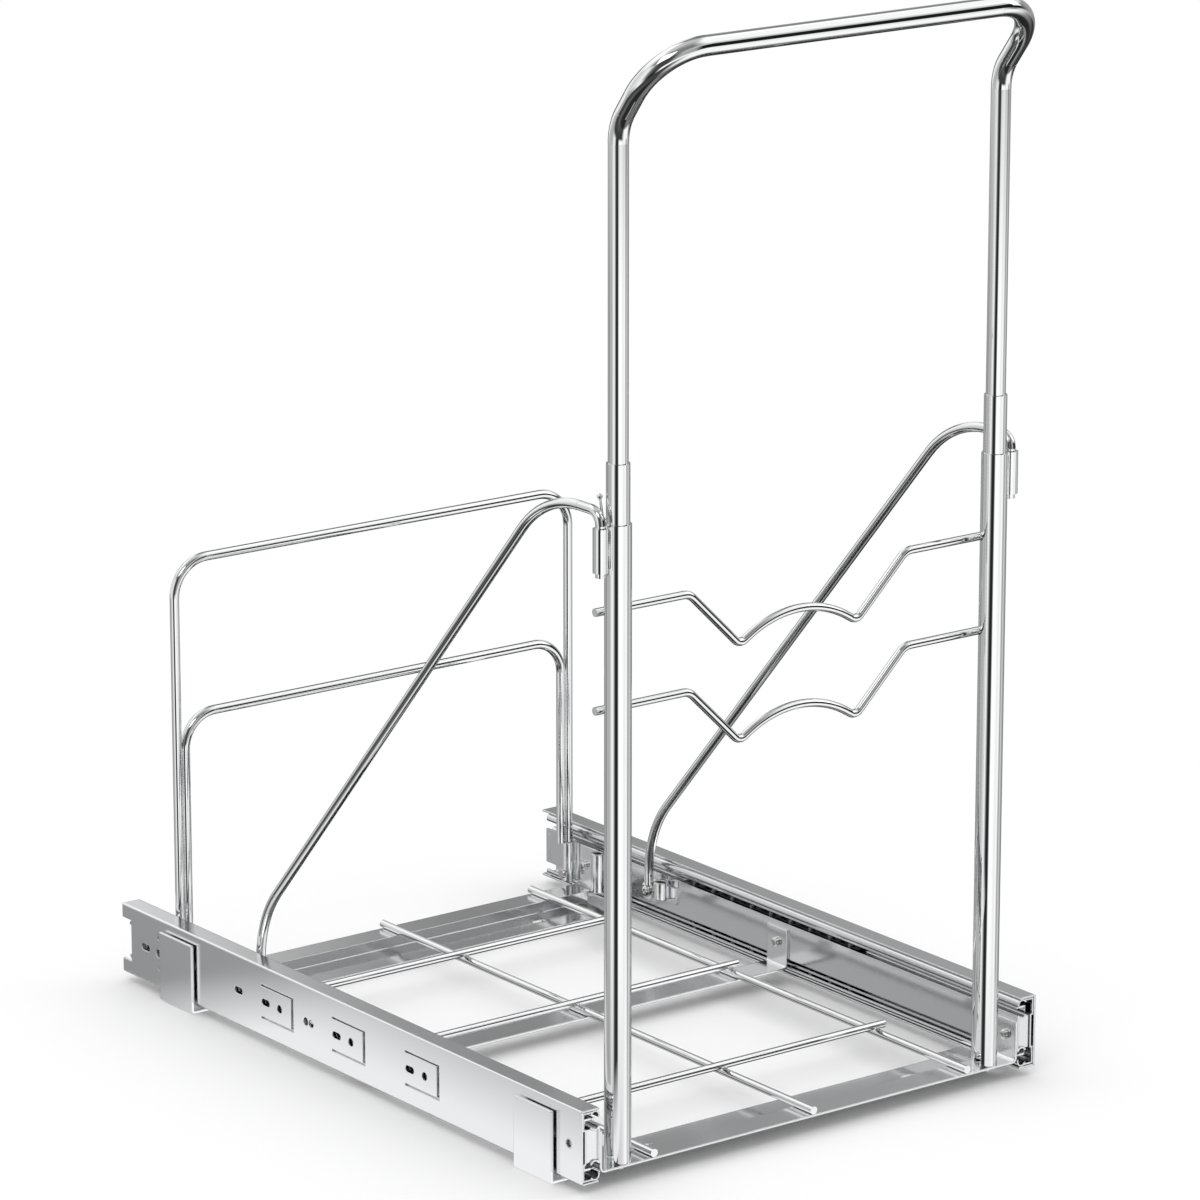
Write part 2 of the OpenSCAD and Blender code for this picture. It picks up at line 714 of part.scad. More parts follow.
// End bar with a riser and a lower flange towards the middle of the frame
module end_bar(y_edge, inward) {
    y_step = y_edge + inward * bar_w;
    lower_half = bar_half - bar_lower_inset;
    y_low = y_step + inward * bar_lower_w;
    difference() {
        union() {
            tabbed_strip(min(y_edge, y_step), max(y_edge, y_step));
            translate([-lower_half, min(y_step, y_step - inward * bar_t), bar_low_z - bar_t])
                cube([2 * lower_half, bar_t, bar_drop + bar_t]);
            translate([-lower_half, min(y_step - inward * bar_t, y_low), bar_low_z - bar_t])
                cube([2 * lower_half, bar_lower_w + bar_t, bar_t]);
        }
        tab_screw_holes(y_edge + inward * bar_w / 2);
        for (s = [-1, 1]) translate([s * bar_slot_x, y_step + inward * bar_lower_w / 2, 0])
            slot_z(bar_low_z - 2 * bar_t, bar_low_z + 1, bar_slot_len, bar_slot_r);
    }
}

module front_bar() {
    color("lightsteelblue") difference() {
        end_bar(front_bar_y, 1);
        for (s = [-1, 1]) translate([s * post_x, post_y, 0])
            cylinder(h = bar_top + 1, r = post_screw_r + fit_gap);
    }
}

module middle_bar() {
    color("lightsteelblue") difference() {
        tabbed_strip(mid_bar_y - mid_bar_w / 2, mid_bar_y + mid_bar_w / 2);
        tab_screw_holes(mid_bar_y);
    }
}

module rear_bar() {
    color("lightsteelblue") end_bar(rear_bar_y, -1);
}

// Pan-head screw with its head's seat at x = 0 and its shaft towards +X
module screw_x(len) {
    pin_x(-screw_head_h, 0, screw_head_r);
    pin_x(-eps, len, screw_r);
}

module bar_screws() {
    through = drawer_t + bar_t + 0.4;
    color("white") for (s = [-1, 1]) on_side(s) {
        for (y = [front_tab_y, mid_bar_y]) translate([clip_face_x - weld_gap, y, screw_z])
            screw_x(through);
        translate([clip_face_x - clip_t - 2 * weld_gap, rear_tab_y, screw_z])
            screw_x(through + clip_t);
    }
}

module long_wires() {
    color("silver") for (x = [-long_wire_x, 0, long_wire_x]) translate([x, front_bar_y, base_z])
        rotate([-90, 0, 0]) cylinder(h = long_wire_rear - front_bar_y, d = base_d);
}

module cross_wires() {
    half = long_wire_x + cross_overhang;
    color("silver") for (y = cross_ys) translate([0, y, cross_z])
        pin_x(-half, half, base_d / 2);
}

module tube_z(z0, z1, r_out, r_in) {
    difference() {
        translate([0, 0, z0]) cylinder(h = z1 - z0, r = r_out);
        translate([0, 0, z0 - 1]) cylinder(h = z1 - z0 + 2, r = r_in);
    }
}

module post(s) {
    color("silver") on_side(s) translate([post_x, post_y, 0])
        tube_z(bar_top + weld_gap, post_top, post_d / 2, post_bore_r);
}

module sleeve(s) {
    color("gainsboro") on_side(s) translate([post_x, post_y, 0]) difference() {
        tube_z(post_top - sleeve_in, sleeve_top, sleeve_d / 2, sleeve_bore_r);
        rotate([0, 0, lever_turn]) translate([0, 0, lever_z])
            pin_x(sleeve_d / 4, sleeve_d, lever_d / 2 + fit_gap);
    }
}

// Wire lever with a ball, whose peg goes through the sleeve's wall
module spring_levers() {
    peg_run = sleeve_d / 2 - sleeve_bore_r - seat_gap + 0.3;
    color("white") for (s = [-1, 1]) on_side(s) translate([post_x, post_y, lever_z])
        rotate([0, 0, lever_turn]) translate([sleeve_bore_r + seat_gap, 0, 0]) rotate([90, 0, 0])
            wire([[RUN, peg_run], [BEND, 1.5, 90 - lever_lean], [RUN, lever_len],
                [BALL, lever_ball_r]], lever_d);
}

module post_plugs() {
    color("dimgray") for (s = [-1, 1]) translate([s * post_x, post_y, 0])
        tube_z(bar_top + weld_gap, bar_top + post_plug_len, post_bore_r - fit_gap,
            post_screw_r + fit_gap);
}

module post_screws() {
    head_h = 2.4;
    color("white") for (s = [-1, 1]) translate([s * post_x, post_y, bar_top - bar_t - weld_gap]) {
        translate([0, 0, -head_h]) cylinder(h = head_h, r = 1.8 * post_screw_r);
        translate([0, 0, -eps]) cylinder(h = bar_t + post_plug_len - 1, r = post_screw_r);
    }
}

module brace_sockets() {
    z1 = post_top - socket_drop;
    color("silver") for (s = [-1, 1]) on_side(s) translate([brace_x, post_y, 0])
        tube_z(z1 - socket_len, z1, socket_r, socket_bore_r);
}

// The rod runs from its tail in the socket up, back and down to its eye. Its
// slope is the straight line that touches both of the large bends.
module brace(s) {
    tail_z = post_top - socket_drop - socket_len - brace_tail;
    hook_run = brace_top - brace_hook_r - tail_z;
    rod_end_z = brace_screw_z + screw_head_r + 0.5;
    reach = brace_foot_y - brace_foot_r - post_y - brace_hook_r - brace_top_run;
    drop = brace_top - brace_top_r - rod_end_z - brace_foot_run;
    apart = sqrt(reach * reach + drop * drop);
    tilt = asin((brace_top_r - brace_foot_r) / apart);
    slope = atan2(drop, reach) + tilt;
    color("silver") on_side(s) {
        translate([brace_x, post_y, tail_z]) rotate([0, -90, 0])
            wire([[RUN, hook_run], [BEND, brace_hook_r, 90], [RUN, brace_top_run],
                [BEND, brace_top_r, slope], [RUN, apart * cos(tilt)],
                [BEND, brace_foot_r, 90 - slope], [RUN, brace_foot_run]], brace_d);
        translate([0, brace_foot_y, brace_screw_z]) difference() {
            pin_x(eye_x, brace_clip_x - weld_gap, eye_r);
            pin_x(eye_x - 1, half_w, screw_r + fit_gap);
        }
    }
}

module brace_clip(s) {
    plate_x = brace_clip_x;
    color("lightgray") on_side(s) difference() {
        union() {
            translate([plate_x, brace_clip_y, brace_clip_z])
                cube([clip_t, brace_clip_len, brace_clip_h]);
            translate([hoop_x, brace_spare_y, brace_spare_z])
                cylinder(h = brace_spare_h, r = brace_spare_r);
        }
        translate([hoop_x, brace_spare_y, brace_spare_z - 1])
            cylinder(h = brace_spare_h + 2, r = socket_bore_r);
        translate([0, brace_foot_y, brace_screw_z]) pin_x(plate_x - 1, half_w, screw_r + fit_gap);
    }
}

module brace_screws() {
    seat_x = eye_x - weld_gap;
    color("white") for (s = [-1, 1]) on_side(s) translate([seat_x, brace_foot_y, brace_screw_z])
        screw_x(drawer_face_x + drawer_t + 0.4 - seat_x);
}

// Wavy wire across the rear of both posts
module guard(z) {
    arch_angle = 2 * atan(arch_rise / (dip_x + arch_run));
    arch_r = (dip_x - arch_run * cos(arch_angle)) / sin(arch_angle) - dip_r;
    slope = (guard_dip - (shoulder_r + dip_r) * (1 - cos(dip_angle))) / sin(dip_angle);
    end_run = guard_half - (shoulder_r + dip_r) * sin(dip_angle) - slope * cos(dip_angle) - dip_x;
    color("silver") translate([-guard_half, guard_y, z]) rotate([90, 0, 0])
        wire([[RUN, end_run], [BEND, shoulder_r, -dip_angle], [RUN, slope],
            [BEND, dip_r, dip_angle + arch_angle], [RUN, arch_run],
            [BEND, arch_r, -2 * arch_angle], [RUN, arch_run],
            [BEND, dip_r, dip_angle + arch_angle], [RUN, slope],
            [BEND, shoulder_r, -dip_angle], [RUN, end_run]], guard_d);
}

// Upside-down U of wire with its legs from z0 to the corners
module hoop(half, top, corner_r, z0) {
    leg = top - corner_r - z0;
    color("silver") translate([-half, hoop_y, z0]) rotate([90, 0, 0]) rotate([0, 0, 90])
        wire([[RUN, leg], [BEND, corner_r, -90], [RUN, 2 * half - 2 * corner_r],
            [BEND, corner_r, -90], [RUN, leg]], hoop_d);
}

module outer_hoop() {
    hoop(hoop_x, hoop_top, hoop_r, hoop_clip_z);
}

// The inner hoop's legs end just above the clips, beside the outer hoop's legs
module inner_hoop() {
    hoop(inner_hoop_x, inner_hoop_top, inner_hoop_r, hoop_clip_z + hoop_clip_h + 0.3);
}

// Sheet clip with a socket at each end, screwed on over the rear bar's tab
module hoop_clip(s) {
    plate_x = clip_face_x - clip_t - weld_gap;
    color("lightgray") on_side(s) difference() {
        union() {
            translate([plate_x, spare_socket_y, hoop_clip_z])
                cube([clip_t, hoop_socket_step, hoop_clip_h]);
            for (y = [spare_socket_y, hoop_y]) translate([hoop_x, y, hoop_clip_z])
                cylinder(h = hoop_clip_h, r = hoop_socket_r);
        }
        for (y = [spare_socket_y, hoop_y]) translate([hoop_x, y, hoop_clip_z - 1])
            cylinder(h = hoop_clip_h + 2, r = hoop_socket_bore_r);
        translate([0, rear_tab_y, screw_z]) pin_x(plate_x - 1, half_w, screw_r + fit_gap);
        translate([0, hoop_y, hoop_clip_z + 5])
            pin_x(hoop_x - 2 * hoop_socket_r, hoop_x, set_screw_r + fit_gap);
    }
}

module socket_screws() {
    color("white") for (s = [-1, 1]) on_side(s) translate([0, hoop_y, hoop_clip_z + 5]) {
        pin_x(hoop_x - hoop_socket_r - 1.5, hoop_x - hoop_socket_r - weld_gap, 2 * set_screw_r);
        pin_x(hoop_x - hoop_socket_r - 1, hoop_x - hoop_d / 2 - weld_gap, set_screw_r);
    }
}

module handle_path(d, extra) {
    leg_run = lean_start - leg_low + extra;
    bar_run = 2 * post_x - 2 * handle_corner_r;
    translate([-post_x, post_y, leg_low - extra]) rotate([0, 0, 180]) rotate([0, -90, 0])
        wire([[RUN, leg_run], [BEND, lean_r, lean_angle], [RUN, lean_run], [ROLL, 90],
            [BEND, handle_corner_r, 90], [RUN, bar_run], [BEND, handle_corner_r, 90],
            [ROLL, -90], [RUN, lean_run], [BEND, lean_r, lean_angle], [RUN, leg_run]], d);
}

module handle_tube() {
    color("silver") difference() {
        handle_path(handle_d, 0);
        handle_path(handle_d - 2 * handle_wall, 1);
    }
}

// Plastic glides that close the legs' lower ends
module handle_glides() {
    cap_h = 2;
    color("dimgray") for (s = [-1, 1]) translate([s * post_x, post_y, leg_low]) {
        translate([0, 0, -cap_h]) cylinder(h = cap_h - weld_gap, r = handle_d / 2);
        translate([0, 0, -cap_h / 2])
            cylinder(h = leg_plug_len, r = handle_d / 2 - handle_wall - fit_gap);
    }
}

placed() rail(-1);  // left_rail
placed() rail(1);  // right_rail
placed() fixed_member(-1);  // left_fixed_member
placed() fixed_member(1);  // right_fixed_member
placed() rail_rivets();
placed() bumper(-1);  // left_bumper
placed() bumper(1);  // right_bumper
placed() floor_bracket(-1, front_bracket_y);  // left_front_bracket
placed() floor_bracket(-1, rear_bracket_y);  // left_rear_bracket
placed() floor_bracket(1, front_bracket_y);  // right_front_bracket
placed() floor_bracket(1, rear_bracket_y);  // right_rear_bracket
placed() middle_member(-1);  // left_middle_member
placed() middle_member(1);  // right_middle_member
placed() outer_cage(-1);  // left_outer_cage
placed() outer_cage(1);  // right_outer_cage
placed() ball_rows(-1, outer_ball_v);  // left_outer_balls
placed() ball_rows(1, outer_ball_v);  // right_outer_balls
placed() inner_cage(-1);  // left_inner_cage
placed() inner_cage(1);  // right_inner_cage
placed() ball_rows(-1, inner_ball_v);  // left_inner_balls
placed() ball_rows(1, inner_ball_v);  // right_inner_balls
placed() drawer_member(-1);  // left_drawer_member
placed() drawer_member(1);  // right_drawer_member
placed() front_bar();
placed() middle_bar();
placed() rear_bar();
placed() bar_screws();
placed() long_wires();
placed() cross_wires();
placed() post(-1);  // left_post
placed() post(1);  // right_post
placed() sleeve(-1);  // left_sleeve
placed() sleeve(1);  // right_sleeve
placed() post_plugs();
placed() post_screws();
placed() spring_levers();
placed() brace_sockets();
placed() brace(-1);  // left_brace
placed() brace(1);  // right_brace
placed() brace_clip(-1);  // left_brace_clip
placed() brace_clip(1);  // right_brace_clip
placed() brace_screws();
placed() guard(upper_guard_z);  // upper_guard
placed() guard(upper_guard_z - guard_step);  // lower_guard
placed() outer_hoop();
placed() inner_hoop();
placed() hoop_clip(-1);  // left_hoop_clip
placed() hoop_clip(1);  // right_hoop_clip
placed() socket_screws();
placed() handle_tube();
placed() handle_glides();
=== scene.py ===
"""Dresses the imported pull-out frame: metals, rubber and plastic, welds, domed screw
heads and rolled edges, and a small pale studio."""
import math
import random

import bmesh
import bpy
from mathutils import Matrix, Vector


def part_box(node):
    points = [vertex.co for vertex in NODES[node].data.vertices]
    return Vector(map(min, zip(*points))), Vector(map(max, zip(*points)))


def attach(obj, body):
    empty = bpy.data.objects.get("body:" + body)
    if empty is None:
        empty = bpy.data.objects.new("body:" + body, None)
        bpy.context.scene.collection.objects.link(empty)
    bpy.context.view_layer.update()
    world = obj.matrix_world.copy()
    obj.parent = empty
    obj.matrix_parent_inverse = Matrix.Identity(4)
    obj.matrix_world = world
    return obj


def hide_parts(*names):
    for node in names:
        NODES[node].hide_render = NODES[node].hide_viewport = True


bl_info = {
    "name": "Pull-out Frame Dressing",
    "version": (1, 0, 0),
    "blender": (4, 5, 0),
    "location": "3D View > Sidebar > Pull-out Frame",
    "description": "Finishes and small details for a pull-out wire frame on ball slides",
    "category": "Object",
}

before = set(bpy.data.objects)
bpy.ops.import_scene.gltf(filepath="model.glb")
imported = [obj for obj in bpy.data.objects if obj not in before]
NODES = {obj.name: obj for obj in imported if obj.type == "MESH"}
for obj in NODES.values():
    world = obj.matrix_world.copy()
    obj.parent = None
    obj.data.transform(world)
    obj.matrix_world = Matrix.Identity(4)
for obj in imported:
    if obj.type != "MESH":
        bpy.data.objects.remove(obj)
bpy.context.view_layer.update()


# Finishes that the panel doesn't offer, with the ball and cage colours made deep to paint the
# shade inside the slides

# The ball colour is nearly black: painted shade of the narrow gap between the slide members
BALL_GAP_SHADE_COLOUR = (0.12, 0.12, 0.125)
BALL_ROUGHNESS = 0.16
SCREW_COLOUR = (0.78, 0.78, 0.76)
RUBBER_COLOUR = (0.04, 0.04, 0.04)
PLASTIC_COLOUR = (0.16, 0.16, 0.165)
# The cage strips are darkened to a small share of the slide steel: painted shade of the gap
# inside the slides
CAGE_GAP_SHADE_FACTOR = 0.08

# Radius in metres to which the shader rounds the edges of a sheet or a screw head
RAIL_EDGE = 0.0009
PLATE_EDGE = 0.0011
SLIDE_EDGE = 0.0005
SCREW_EDGE = 0.0002

# Vertices nearer than this are one, and a radius below it is a point on the axis
SAME_PLACE = 1e-6
ON_AXIS = 1e-7

# Brightness of the room in rows, from the deepest to the highest, as only polished metal
# sees it. Each row starts at the height given, as the Z of a direction, and holds pairs of
# the angle from straight behind the camera in degrees and the level.
ROOM = (
    (-1.0, ((-180, 0.05), (-150, 0.05), (-125, 0.03), (20, 0.02), (44, 0.06), (56, 0.2),
            (92, 0.2), (103, 0.1), (115, 0.03), (150, 0.02), (180, 0.02))),
    (-0.76, ((-180, 0.05), (-150, 0.10), (-138, 0.9), (-128, 0.9), (-121, 0.04),
             (-108, 0.04), (-101, 1.0), (-92, 1.1), (-86, 0.15), (30, 0.05), (45, 0.5),
             (56, 1.1), (100, 1.1), (115, 0.3), (130, 0.04), (180, 0.03))),
    (-0.60, ((-180, 0.05), (-150, 0.10), (-138, 0.9), (-128, 0.9), (-121, 0.04),
             (-86, 0.06), (30, 0.05), (45, 0.5), (56, 1.1), (100, 1.1), (115, 0.3),
             (130, 0.04), (180, 0.03))),
    (-0.36, ((-180, 0.24), (-131, 0.40), (-120, 0.36), (-114, 0.22), (-107, 0.46),
             (-100, 0.52), (-80, 0.47), (-66, 0.62), (-56, 0.96), (-46, 1.07), (-38, 0.75),
             (-28, 0.10), (-21, 0.02), (-5, 0.02), (0, 0.30), (6, 1.2), (38, 1.15),
             (50, 1.0), (60, 1.0), (70, 1.15), (78, 1.0), (88, 0.40), (94, 0.33),
             (102, 0.75), (108, 0.70), (121, 0.45), (140, 0.24), (180, 0.24))),
    (-0.17, ((-180, 0.33), (-178, 0.16), (-175.5, 0.8), (-168, 0.9), (-162, 0.10),
             (-145, 0.08), (-135, 1.0), (-115, 1.0), (-105, 0.7), (-80, 0.8), (-50, 1.0),
             (-35, 0.25), (-20, 0.06), (10, 0.06), (30, 0.5), (50, 0.4), (60, 0.01),
             (104, 0.01), (128, 0.35), (155, 0.4), (172, 0.40), (177, 0.39),
             (180, 0.33))),
    (0.33, ((-180, 0.26), (-178, 0.16), (-176, 0.6), (-174, 1.1), (-115, 1.0), (-105, 0.7),
            (-80, 0.8), (-50, 1.0), (-35, 0.25), (-20, 0.06), (10, 0.06), (30, 0.5),
            (62, 0.6), (100, 0.8), (125, 0.9), (155, 0.6), (172, 0.38), (177, 0.35),
            (180, 0.26))),
    (0.50, ((-180, 0.06), (-168, 0.12), (-156, 1.1), (-95, 1.1), (-70, 0.5), (-45, 0.25),
            (45, 0.22), (60, 0.5), (75, 1.1), (148, 1.1), (158, 0.12), (180, 0.06))),
    (0.88, ((-180, 0.38), (-90, 0.46), (0, 0.38), (90, 0.46), (180, 0.38))),
)


# Sizes and colours a user may change


class MetalSettings(bpy.types.PropertyGroup):
    """Colours and gloss of the plated steel"""

    chrome_colour: bpy.props.FloatVectorProperty(
        name="Chrome", description="Reflection colour of the chromed wires and tubes",
        subtype="COLOR", size=3, min=0, max=1, default=(0.84, 0.845, 0.85))
    chrome_roughness: bpy.props.FloatProperty(
        name="Chrome Roughness", description="Roughness of the chromed wires and tubes",
        min=0, max=1, default=0.035)
    sheet_colour: bpy.props.FloatVectorProperty(
        name="Zinc Sheet", description="Reflection colour of the zinc-plated sheet",
        subtype="COLOR", size=3, min=0, max=1, default=(0.87, 0.88, 0.89))
    sheet_roughness: bpy.props.FloatProperty(
        name="Sheet Roughness", description="Mean roughness of the zinc-plated sheet",
        min=0, max=1, default=0.17)
    slide_colour: bpy.props.FloatVectorProperty(
        name="Slide Steel", description="Reflection colour of the slide members",
        subtype="COLOR", size=3, min=0, max=1, default=(0.78, 0.79, 0.80))


class DetailSettings(bpy.types.PropertyGroup):
    """Sizes of the small pieces that are added"""

    weld_radius: bpy.props.FloatProperty(
        name="Weld Radius", description="Widest radius of a resistance weld between two wires",
        unit="LENGTH", min=0.001, max=0.004, default=0.0024)
    recess_depth: bpy.props.FloatProperty(
        name="Recess Depth", description="Depth of the cross recess in a screw head",
        unit="LENGTH", min=0.0002, max=0.002, default=0.0011)
    recess_width: bpy.props.FloatProperty(
        name="Recess Width", description="Width of a wing of the cross recess",
        unit="LENGTH", min=0.0002, max=0.002, default=0.0009)


class StudioSettings(bpy.types.PropertyGroup):
    """Floor, lamps, room and camera"""

    floor_colour: bpy.props.FloatVectorProperty(
        name="Floor", description="Colour of the floor near the frame",
        subtype="COLOR", size=3, min=0, max=1, default=(0.93, 0.93, 0.93))
    key_power: bpy.props.FloatProperty(
        name="Key Power", description="Power of the large soft lamp", unit="POWER",
        min=0, max=2000, default=12)
    world_strength: bpy.props.FloatProperty(
        name="Room Light", description="Strength of the light from the room",
        min=0, max=4, default=1.0)
    azimuth: bpy.props.FloatProperty(
        name="Azimuth", description="Turn of the view to the left of straight to the rear",
        subtype="ANGLE", default=math.radians(-37.1043))
    elevation: bpy.props.FloatProperty(
        name="Elevation", description="How far the camera looks down",
        subtype="ANGLE", default=math.radians(15.1918))
    camera_place: bpy.props.FloatVectorProperty(
        name="Camera Place", description="Where the camera stands", subtype="TRANSLATION",
        size=3, default=(-2.165823, -2.879709, 1.259590))
    lens: bpy.props.FloatProperty(
        name="Lens", description="Focal length on a 36 mm wide sensor", min=20, max=400,
        default=182.183)


# Shader building


class Wire:
    """A shader socket with Python's operators on it"""

    def __init__(self, shader, socket):
        self.shader = shader
        self.socket = socket

    def _join(self, operation, other, swapped=False):
        pair = (other, self) if swapped else (self, other)
        return self.shader.maths(operation, *pair)

    def __add__(self, other):
        return self._join("ADD", other)

    def __radd__(self, other):
        return self._join("ADD", other)

    def __sub__(self, other):
        return self._join("SUBTRACT", other)

    def __rsub__(self, other):
        return self._join("SUBTRACT", other, True)

    def __mul__(self, other):
        return self._join("MULTIPLY", other)

    def __rmul__(self, other):
        return self._join("MULTIPLY", other)

    def __gt__(self, other):
        return self._join("GREATER_THAN", other)

    def __lt__(self, other):
        return self._join("LESS_THAN", other)


class Shader:
    """Builds the nodes of one material or world"""

    def __init__(self, tree):
        self.tree = tree
        tree.nodes.clear()

    def node(self, kind, settings=None, sockets=None):
        """Adds a node: its settings first, then its sockets by name or number"""
        made = self.tree.nodes.new(kind)
        for name, value in (settings or {}).items():
            if name == "stops":
                self.set_stops(made.color_ramp.elements, value)
            else:
                setattr(made, name, value)
        for which, value in (sockets or {}).items():
            self.feed(made.inputs[which], value)
        return made

    def set_stops(self, elements, stops):
        """Sets a ramp's stops, each a place from 0 to 1 and its grey level"""
        while len(elements) < len(stops):
            elements.new(0.5)
        for element, (place, level) in zip(elements, stops):
            element.position = place
            element.color = (level, level, level, 1)

    def feed(self, socket, value):
        """Links a socket or sets its constant; a colour may lack its alpha"""
        if isinstance(value, Wire):
            self.tree.links.new(value.socket, socket)
        elif isinstance(value, bpy.types.NodeSocket):
            self.tree.links.new(value, socket)
        elif socket.type == "RGBA" and len(value) == 3:
            socket.default_value = (*value, 1)
        else:
            socket.default_value = value

    def maths(self, operation, *values):
        """A number worked out from one or two others"""
        made = self.node("ShaderNodeMath", {"operation": operation}, dict(enumerate(values)))
        return Wire(self, made.outputs[0])

    def place(self, stretch=(1, 1, 1)):
        """Coordinates on the piece in metres, with each axis scaled"""
        where = self.node("ShaderNodeTexCoord").outputs["Object"]
        made = self.node("ShaderNodeVectorMath", {"operation": "MULTIPLY"},
                         {0: where, 1: stretch})
        return Wire(self, made.outputs[0])

    def noise(self, scale, detail, stretch=(1, 1, 1), roughness=0.5):
        """Soft random levels around a half, finer as the scale grows"""
        made = self.node("ShaderNodeTexNoise", None, {
            "Vector": self.place(stretch), "Scale": scale, "Detail": detail,
            "Roughness": roughness})
        return Wire(self, made.outputs["Fac"])

    def ramp(self, value, *stops):
        """A grey level that follows the stops as the value goes from 0 to 1"""
        made = self.node("ShaderNodeValToRGB", {"stops": stops}, {"Fac": value})
        return Wire(self, made.outputs["Color"])

    def blend(self, factor, low, high):
        """Colour between two, by a factor from 0 to 1"""
        made = self.node("ShaderNodeMix", {"data_type": "RGBA"}, {0: factor, 6: low, 7: high})
        return Wire(self, made.outputs[2])

    def bump(self, height, distance, strength, edge=0.0):
        """Fine relief, with edges rounded by the radius given"""
        sockets = {"Height": height, "Distance": distance, "Strength": strength}
        if edge > 0:
            rounded = self.node("ShaderNodeBevel", {"samples": 6}, {"Radius": edge})
            sockets["Normal"] = rounded.outputs[0]
        made = self.node("ShaderNodeBump", None, sockets)
        return Wire(self, made.outputs["Normal"])

    def mixed(self, factor, first, second):
        """One surface where the factor is 0, the other where it is 1"""
        made = self.node("ShaderNodeMixShader", None, {0: factor, 1: first, 2: second})
        return made.outputs[0]

    def surface(self, **sockets):
        """The piece's whole surface, from sockets named with an underscore for a space"""
        named = {name.replace("_", " "): value for name, value in sockets.items()}
        skin = self.node("ShaderNodeBsdfPrincipled", None, named)
        self.node("ShaderNodeOutputMaterial", None, {"Surface": skin.outputs[0]})


def new_material(name):
    """An empty material and the builder of its nodes"""
    made = bpy.data.materials.new(name)
    made.use_nodes = True
    return made, Shader(made.node_tree)


def shade(colour, factor):
    """The colour made paler or deeper"""
    return tuple(min(1.0, c * factor) for c in colour)


def chrome_material(name, colour, roughness):
    """Bright plating: near mirror, with faint orange peel and wiping marks"""
    made, shader = new_material(name)
    haze = shader.noise(scale=40, detail=2)
    wipes = shader.noise(scale=500, stretch=(1, 1, 0.06), detail=2)
    peel = shader.noise(scale=260, detail=1)
    shader.surface(
        Base_Color=shader.blend(haze, shade(colour, 0.98), shade(colour, 1.01)),
        Metallic=1.0,
        Roughness=roughness * 0.8 + haze * (roughness * 0.3) + wipes * (roughness * 0.1),
        Normal=shader.bump(peel, distance=0.000006, strength=0.25))
    return made


def sheet_material(name, colour, roughness, along, edge):
    """Zinc-plated strip with fine rolling lines along one axis and rolled edges"""
    made, shader = new_material(name)
    stretch = tuple(0.02 if axis == along else 1 for axis in "XYZ")
    lines = shader.noise(scale=2600, stretch=stretch, detail=4, roughness=0.65)
    cloud = shader.noise(scale=14, detail=3, roughness=0.5)
    specks = shader.ramp(shader.noise(scale=1500, detail=2), (0.0, 0), (0.62, 0), (0.72, 1))
    shader.surface(
        Base_Color=shader.blend(cloud, shade(colour, 0.98), shade(colour, 1.02)),
        Metallic=1.0,
        Roughness=roughness * 0.8 + lines * (roughness * 0.3) + cloud * (roughness * 0.1)
        + specks * 0.03,
        Normal=shader.bump(lines, distance=0.000003, strength=0.2, edge=edge))
    return made


def ground_steel_material(name, colour, roughness):
    """Hardened balls, ground and polished, in a colour made deep enough to paint the shade of
    the gap between the slide members
    """
    made, shader = new_material(name)
    smear = shader.noise(scale=1800, detail=2)
    shader.surface(
        Base_Color=shader.blend(smear, shade(colour, 0.9), colour),
        Metallic=1.0, Roughness=roughness + smear * 0.06,
        Normal=shader.bump(smear, distance=0.000004, strength=0.3))
    return made


def screw_material(name, colour):
    """Barrel-plated screw heads with small knocks"""
    made, shader = new_material(name)
    knocks = shader.noise(scale=700, detail=4, roughness=0.6)
    shader.surface(
        Base_Color=shader.blend(knocks, shade(colour, 0.85), shade(colour, 1.04)),
        Metallic=1.0, Roughness=0.12 + knocks * 0.12,
        Normal=shader.bump(knocks, distance=0.00002, strength=0.4, edge=SCREW_EDGE))
    return made


def weld_material(name, colour):
    """Plated weld metal: softly wavy, a little duller than the wire"""
    made, shader = new_material(name)
    waves = shader.noise(scale=650, detail=3, roughness=0.55)
    shader.surface(
        Base_Color=shader.blend(waves, shade(colour, 0.8), colour),
        Metallic=1.0, Roughness=0.12 + waves * 0.16,
        Normal=shader.bump(waves, distance=0.00008, strength=0.5))
    return made


def rubber_material(name, colour):
    """Moulded black rubber with a dusty bloom"""
    made, shader = new_material(name)
    grain = shader.noise(scale=1600, detail=5, roughness=0.7)
    bloom = shader.noise(scale=90, detail=3)
    shader.surface(
        Base_Color=shader.blend(bloom, shade(colour, 0.7), tuple(c + 0.03 for c in colour)),
        Roughness=0.62 + grain * 0.2,
        Normal=shader.bump(grain, distance=0.00006, strength=0.6))
    return made


def plastic_material(name, colour):
    """Moulded plastic with a fine eroded texture"""
    made, shader = new_material(name)
    grain = shader.noise(scale=2400, detail=3, roughness=0.6)
    shader.surface(
        Base_Color=shader.blend(grain, shade(colour, 0.9), shade(colour, 1.1)),
        Roughness=0.42 + grain * 0.15,
        Normal=shader.bump(grain, distance=0.00003, strength=0.5))
    return made


def give(node_name, material):
    """Puts a material on a node that came with the frame"""
    target = NODES[node_name]
    target.data.materials.clear()
    target.data.materials.append(material)


# Mesh helpers


def piece(name, mesh, material, body):
    """Adds an object that rides on a body of the frame"""
    made = bpy.data.objects.new(name, mesh)
    bpy.context.scene.collection.objects.link(made)
    made.data.materials.append(material)
    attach(made, body)
    return made


def finished(bm, name, smooth_angle=40):
    """Makes the bmesh a mesh, with edges sharper than the angle in degrees left hard"""
    bmesh.ops.recalc_face_normals(bm, faces=bm.faces)
    mesh = bpy.data.meshes.new(name)
    bm.to_mesh(mesh)
    bm.free()
    for face in mesh.polygons:
        face.use_smooth = True
    mesh.set_sharp_from_angle(angle=math.radians(smooth_angle))
    return mesh


